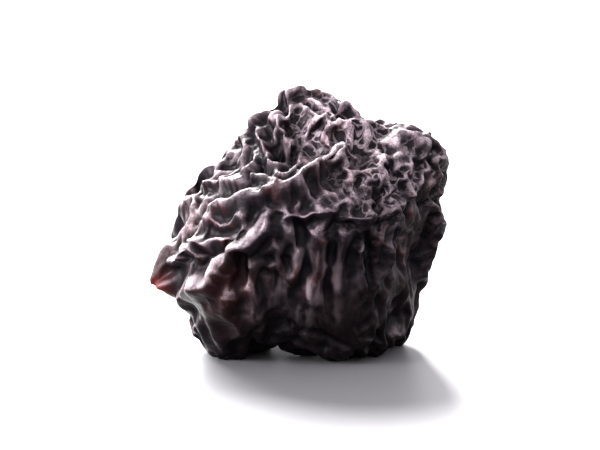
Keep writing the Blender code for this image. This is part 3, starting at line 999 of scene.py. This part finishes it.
# The blush stops low down, so that the bottom keeps its painted shade.
BLUSH_NONE_AT, BLUSH_FULL_AT = 7.0, 11.0
# Crest values from no painted shade to full painted shade in the valleys.
CREST_UNSHADED, VALLEY_DARK = 0.62, 0.2
# Heights from no painted shade to full, and its share, towards the bottom.
LOW_SHADE_TOP, LOW_SHADE_FULL, LOW_SHADE_SHARE = 10.0, 3.0, 0.75

material = bpy.data.materials.new("dried skin")
material.use_nodes = True
tree = material.node_tree
shader = tree.nodes["Principled BSDF"]
place = node(tree, "ShaderNodeTexCoord", {}).outputs["Object"]
above = node(tree, "ShaderNodeSeparateXYZ", {"Vector": place}).outputs["Z"]
crest = kept_value(tree, "crest")

colour = blend(tree, mottle(tree, place, *PATCHES), PURPLE, BROWN)
blush = combined(tree, "MULTIPLY", mottle(tree, place, *BLUSH),
                 ramp(tree, above, BLUSH_NONE_AT * MM, BLUSH_FULL_AT * MM))
colour = blend(tree, blush, colour, MAROON)
# Painted shade: the valleys are blended towards a darker colour.
colour = blend(tree, ramp(tree, crest, CREST_UNSHADED, VALLEY_DARK), colour, PAINTED_SHADE)
# Painted shade: the colour goes darker towards the bottom.
underside = ramp(tree, above, LOW_SHADE_TOP * MM, LOW_SHADE_FULL * MM, 0.0, LOW_SHADE_SHARE)
colour = blend(tree, underside, colour, PAINTED_SHADE)
# Painted glow: red where light would shine through the thin skin.
colour = blend(tree, kept_value(tree, "thin_skin_glow"), colour, GLOW_RED)
print("the skin's colour takes", len(tree.nodes), "nodes")

# %% [markdown]
# ## Dust, film and threads, with painted highlights
#
# The bloom is pale, and there are three ways in which it lies. It is dust on the crests, in
# blotches, and there it also stands in for highlights, as painted highlights. It is a thin film on
# what faces up, which also makes the tops lighter, as painted light from above. And it is
# threads in the net: the borders between Voronoi cells, whose places are stirred by noise so
# that no thread is straight. Where two of them meet, the stronger one shows. All of it is grainy
# from close by. What faces down gets none of it and stays dark, as painted shade.

# %% Dust and painted highlights on the crests, film and painted light on top
DUST_AND_SHEEN_START, DUST_AND_SHEEN_LATER_IN_NET = 0.25, 0.33
DUST_AND_SHEEN_LEAST = 0.04
BLOTCHES = (1.6, 4.0, 0.65, 0.36, 0.62, 0.25, 1.0)
FILM_AND_TOP_LIGHT = (3.0, 5.0, 0.6, 0.4, 0.6, 0.0, 0.15)
FILM_AND_TOP_LIGHT_START = 0.45

upward = kept_value(tree, "upward")
net_share = kept_value(tree, "netted")
dust_and_crest_sheen_start = combined(tree, "ADD", DUST_AND_SHEEN_START,
                      combined(tree, "MULTIPLY", net_share, DUST_AND_SHEEN_LATER_IN_NET))
dust_and_crest_sheen = combined(tree, "MULTIPLY", ramp(tree, crest, dust_and_crest_sheen_start, 1.0, DUST_AND_SHEEN_LEAST, 1.0),
                mottle(tree, place, *BLOTCHES))
film_and_top_light = combined(tree, "MULTIPLY", ramp(tree, upward, FILM_AND_TOP_LIGHT_START, 1.0),
                mottle(tree, place, *FILM_AND_TOP_LIGHT))
print("with dust and film", len(tree.nodes), "nodes")

# %% Threads between stirred cells
THREAD_CELL = 1.3
STIR_SIZE, STIR_REACH = 1.3, 1.6
THREAD_EDGE, THREAD_FULL = 0.15, 0.03
THREAD_GAPS = (2.4, 3.0, 0.6, 0.34, 0.54, 0.3, 1.0)

stir = node(tree, "ShaderNodeTexNoise", {"Vector": place, "Scale": 1 / (STIR_SIZE * MM),
                                         "Detail": 2.0}).outputs["Color"]
stir = moved(tree, "SUBTRACT", stir, (0.5, 0.5, 0.5))
stir = moved(tree, "MULTIPLY", stir, (STIR_REACH * MM,) * 3)
cells = node(tree, "ShaderNodeTexVoronoi",
             {"Vector": moved(tree, "ADD", place, stir), "Scale": 1 / (THREAD_CELL * MM)},
             feature="DISTANCE_TO_EDGE")
threads = combined(tree, "MULTIPLY",
                   ramp(tree, cells.outputs["Distance"], THREAD_EDGE, THREAD_FULL),
                   mottle(tree, place, *THREAD_GAPS), net_share)
print("with threads", len(tree.nodes), "nodes")

# %% Painted highlights down the ribs, and all of the bloom
# The pale of the bloom, which also paints highlights on crests, threads, rims and ribs.
BLOOM_AND_SHEEN = (0.46, 0.37, 0.40, 1)
GRAINS = (0.16, 2.0, 0.5, 0.4, 0.7, 0.55, 1.0)
# No bloom on what faces down, as painted shade; full bloom on what faces up, as painted light.
SHELTERED_AND_SHADED, SETTLED_AND_LIT = -0.3, 0.5
# Pale streaks that stand in for light reflected from the ribs: painted highlights.
RIB_HIGHLIGHTS = (2.0, 3.0, 0.5, 0.44, 0.64, 0.0, 0.24)
RIB_HIGHLIGHT_STRETCH = (1, 1, 0.25)
RIB_HIGHLIGHT_START, RIB_HIGHLIGHT_FULL = 0.1, 0.55

bloom_and_sheen = combined(tree, "MULTIPLY", combined(tree, "MAXIMUM", dust_and_crest_sheen, film_and_top_light, threads),
                 mottle(tree, place, *GRAINS), ramp(tree, upward, SHELTERED_AND_SHADED, SETTLED_AND_LIT),
                 kept_value(tree, "bloom_and_sheen_share"))
# Painted highlights: pale streaks down the front's ribs, where they would reflect the light.
upright = moved(tree, "MULTIPLY", place, RIB_HIGHLIGHT_STRETCH)
rib_highlights = combined(tree, "MULTIPLY", mottle(tree, upright, *RIB_HIGHLIGHTS),
                   kept_value(tree, "rib_highlight_share"), ramp(tree, crest, RIB_HIGHLIGHT_START, RIB_HIGHLIGHT_FULL))
bloom_and_sheen = combined(tree, "MAXIMUM", bloom_and_sheen, rib_highlights)
tree.links.new(blend(tree, bloom_and_sheen, colour, BLOOM_AND_SHEEN), shader.inputs["Base Color"])
print("with streaks", len(tree.nodes), "nodes")

# %% [markdown]
# ## Gloss and grain
#
# Bare skin has a low gloss that changes from place to place, and bloom takes it away. The
# grain is too fine for the mesh: lumps of half a millimetre, pores in them, and the threads,
# which stand up a little. A bump is enough for these, because none of them shows at the edge.

# %% Gloss and bump
SPECULAR = 0.1
GLOSS = (2.2, 3.0, 0.5, 0.35, 0.65, 0.3, 0.48)
DULLED_BY_BLOOM = 0.22
GRAIN, GRAIN_HEIGHT = (0.55, 5.0, 0.62), 0.10
PORES, PORE_HEIGHT = (0.14, 2.0, 0.5), 0.018
THREAD_HEIGHT = 0.12

roughness = combined(tree, "ADD", mottle(tree, place, *GLOSS),
                     combined(tree, "MULTIPLY", bloom_and_sheen, DULLED_BY_BLOOM))
tree.links.new(roughness, shader.inputs["Roughness"])
shader.inputs["Specular IOR Level"].default_value = SPECULAR

relief = combined(tree, "ADD",
                  combined(tree, "MULTIPLY", lumps(tree, place, *GRAIN), GRAIN_HEIGHT),
                  combined(tree, "MULTIPLY", lumps(tree, place, *PORES), PORE_HEIGHT),
                  combined(tree, "MULTIPLY", threads, THREAD_HEIGHT))
bump = node(tree, "ShaderNodeBump", {"Height": relief, "Distance": MM})
tree.links.new(bump.outputs["Normal"], shader.inputs["Normal"])
skin.materials.append(material)
print("the whole finish has", len(tree.nodes), "nodes")

# %% [markdown]
# ## The floor
#
# The fruit lies on a plain white table. In strong light from behind, a white floor would
# throw so much light up that the underside of the fruit would be as bright as its top. So
# the floor is a grey one, and the lights are strong enough to make it look white.

# %% Floor
FLOOR_SIZE = 3.0
FLOOR_COLOUR = (0.125, 0.124, 0.127, 1)
FLOOR_ROUGHNESS = 0.45

bpy.ops.mesh.primitive_plane_add(size=FLOOR_SIZE, location=(0, 0, float(low[2]) * MM))
floor = bpy.context.object
floor.name = "floor"
floor_finish = bpy.data.materials.new("white table")
floor_finish.use_nodes = True
floor_shader = floor_finish.node_tree.nodes["Principled BSDF"]
floor_shader.inputs["Base Color"].default_value = FLOOR_COLOUR
floor_shader.inputs["Roughness"].default_value = FLOOR_ROUGHNESS
floor.data.materials.append(floor_finish)
floor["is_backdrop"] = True
print("the floor is", FLOOR_SIZE, "m wide")

# %% [markdown]
# ## The light
#
# Three things light the fruit. A large soft sun stands behind it at the left, so its top
# rims shine and its shadow falls towards the viewer. A pale room fills the shade. One small
# softbox at the left of the front picks out the ridges there. Area lights could do for the
# sun as well, but a sun is as strong on the floor as on the fruit, and its width in degrees
# sets how soft the shadow's edge is.

# %% The room
ROOM_COLOUR = (0.98, 0.955, 1.0, 1)
WALL, CEILING = 1.85, 2.0
WALL_TOP, CEILING_START = 0.1, 0.6

world = bpy.data.worlds.new("studio")
bpy.context.scene.world = world
world.use_nodes = True
room = world.node_tree
direction = node(room, "ShaderNodeTexCoord", {}).outputs["Generated"]
height = node(room, "ShaderNodeSeparateXYZ", {"Vector": direction}).outputs["Z"]
background = room.nodes["Background"]
background.inputs["Color"].default_value = ROOM_COLOUR
room.links.new(ramp(room, height, WALL_TOP, CEILING_START, WALL, CEILING),
               background.inputs["Strength"])
print("the room's strength is", WALL, "at the walls and", CEILING, "at the ceiling")

# %% The sun and the softbox
SUN_PLACE, SUN_STRENGTH, SUN_WIDTH = (-0.36, 0.8, 0.6), 24.0, math.radians(42)
BOX_PLACE, BOX_POWER, BOX_WIDTH = (-0.36, -0.14, 0.14), 4.0, 0.14
BOX_COLOUR = (0.97, 0.95, 1)


def aimed(data, place):
    light = bpy.data.objects.new(data.name, data)
    light.location = place
    light.rotation_euler = (-Vector(place)).to_track_quat("-Z", "Y").to_euler()
    bpy.context.scene.collection.objects.link(light)


sun = bpy.data.lights.new("high window behind", "SUN")
sun.energy = SUN_STRENGTH
sun.angle = SUN_WIDTH
aimed(sun, SUN_PLACE)

softbox = bpy.data.lights.new("left front", "AREA")
softbox.shape = "SQUARE"
softbox.size = BOX_WIDTH
softbox.energy = BOX_POWER
softbox.color = BOX_COLOUR
aimed(softbox, BOX_PLACE)
sun_height = math.degrees(math.atan2(SUN_PLACE[2], math.hypot(*SUN_PLACE[:2])))
print("the sun stands", round(sun_height), "degrees high")

# %% [markdown]
# ## The camera
#
# The view is from a little above the fruit, from far enough off that near and far parts look
# the same size. The camera aims near the middle of the fruit's height, and the lens follows
# from how wide a strip it shows.
#
# The standard view with more contrast keeps the skin nearly black and the floor white, where
# a filmic view would grey both.

# %% Camera and view
AIM = Vector((0.0, 0.0, 0.0137))
FAR = 0.55
SHOWN_WIDTH = 0.064
SENSOR_WIDTH = 36
CLIP_START, CLIP_END = 0.01, 20

camera_data = bpy.data.cameras.new("camera")
camera_data.sensor_width = SENSOR_WIDTH
camera_data.lens = SENSOR_WIDTH * FAR / SHOWN_WIDTH
camera_data.clip_start, camera_data.clip_end = CLIP_START, CLIP_END
camera = bpy.data.objects.new("camera", camera_data)
bpy.context.scene.collection.objects.link(camera)
bpy.context.scene.camera = camera
camera.location = AIM + FAR * Vector((0, -math.cos(VIEW_TILT), math.sin(VIEW_TILT)))
camera.rotation_euler = (AIM - camera.location).to_track_quat("-Z", "Y").to_euler()
bpy.context.scene.view_settings.view_transform = "Standard"
bpy.context.scene.view_settings.look = "Medium High Contrast"
print("the lens is", round(camera_data.lens), "mm long")

# %% [markdown]
# ## The sizes
#
# The wrinkles that the skin made by itself may stand out of the solid's box a little. Both
# boxes are printed so that they can be compared.

# %% Sizes
visual_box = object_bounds()
for name, corners in (("solid", cad_box), ("fruit", visual_box)):
    print(name, "from", *[[round(v / MM, 2) for v in corner] for corner in corners])
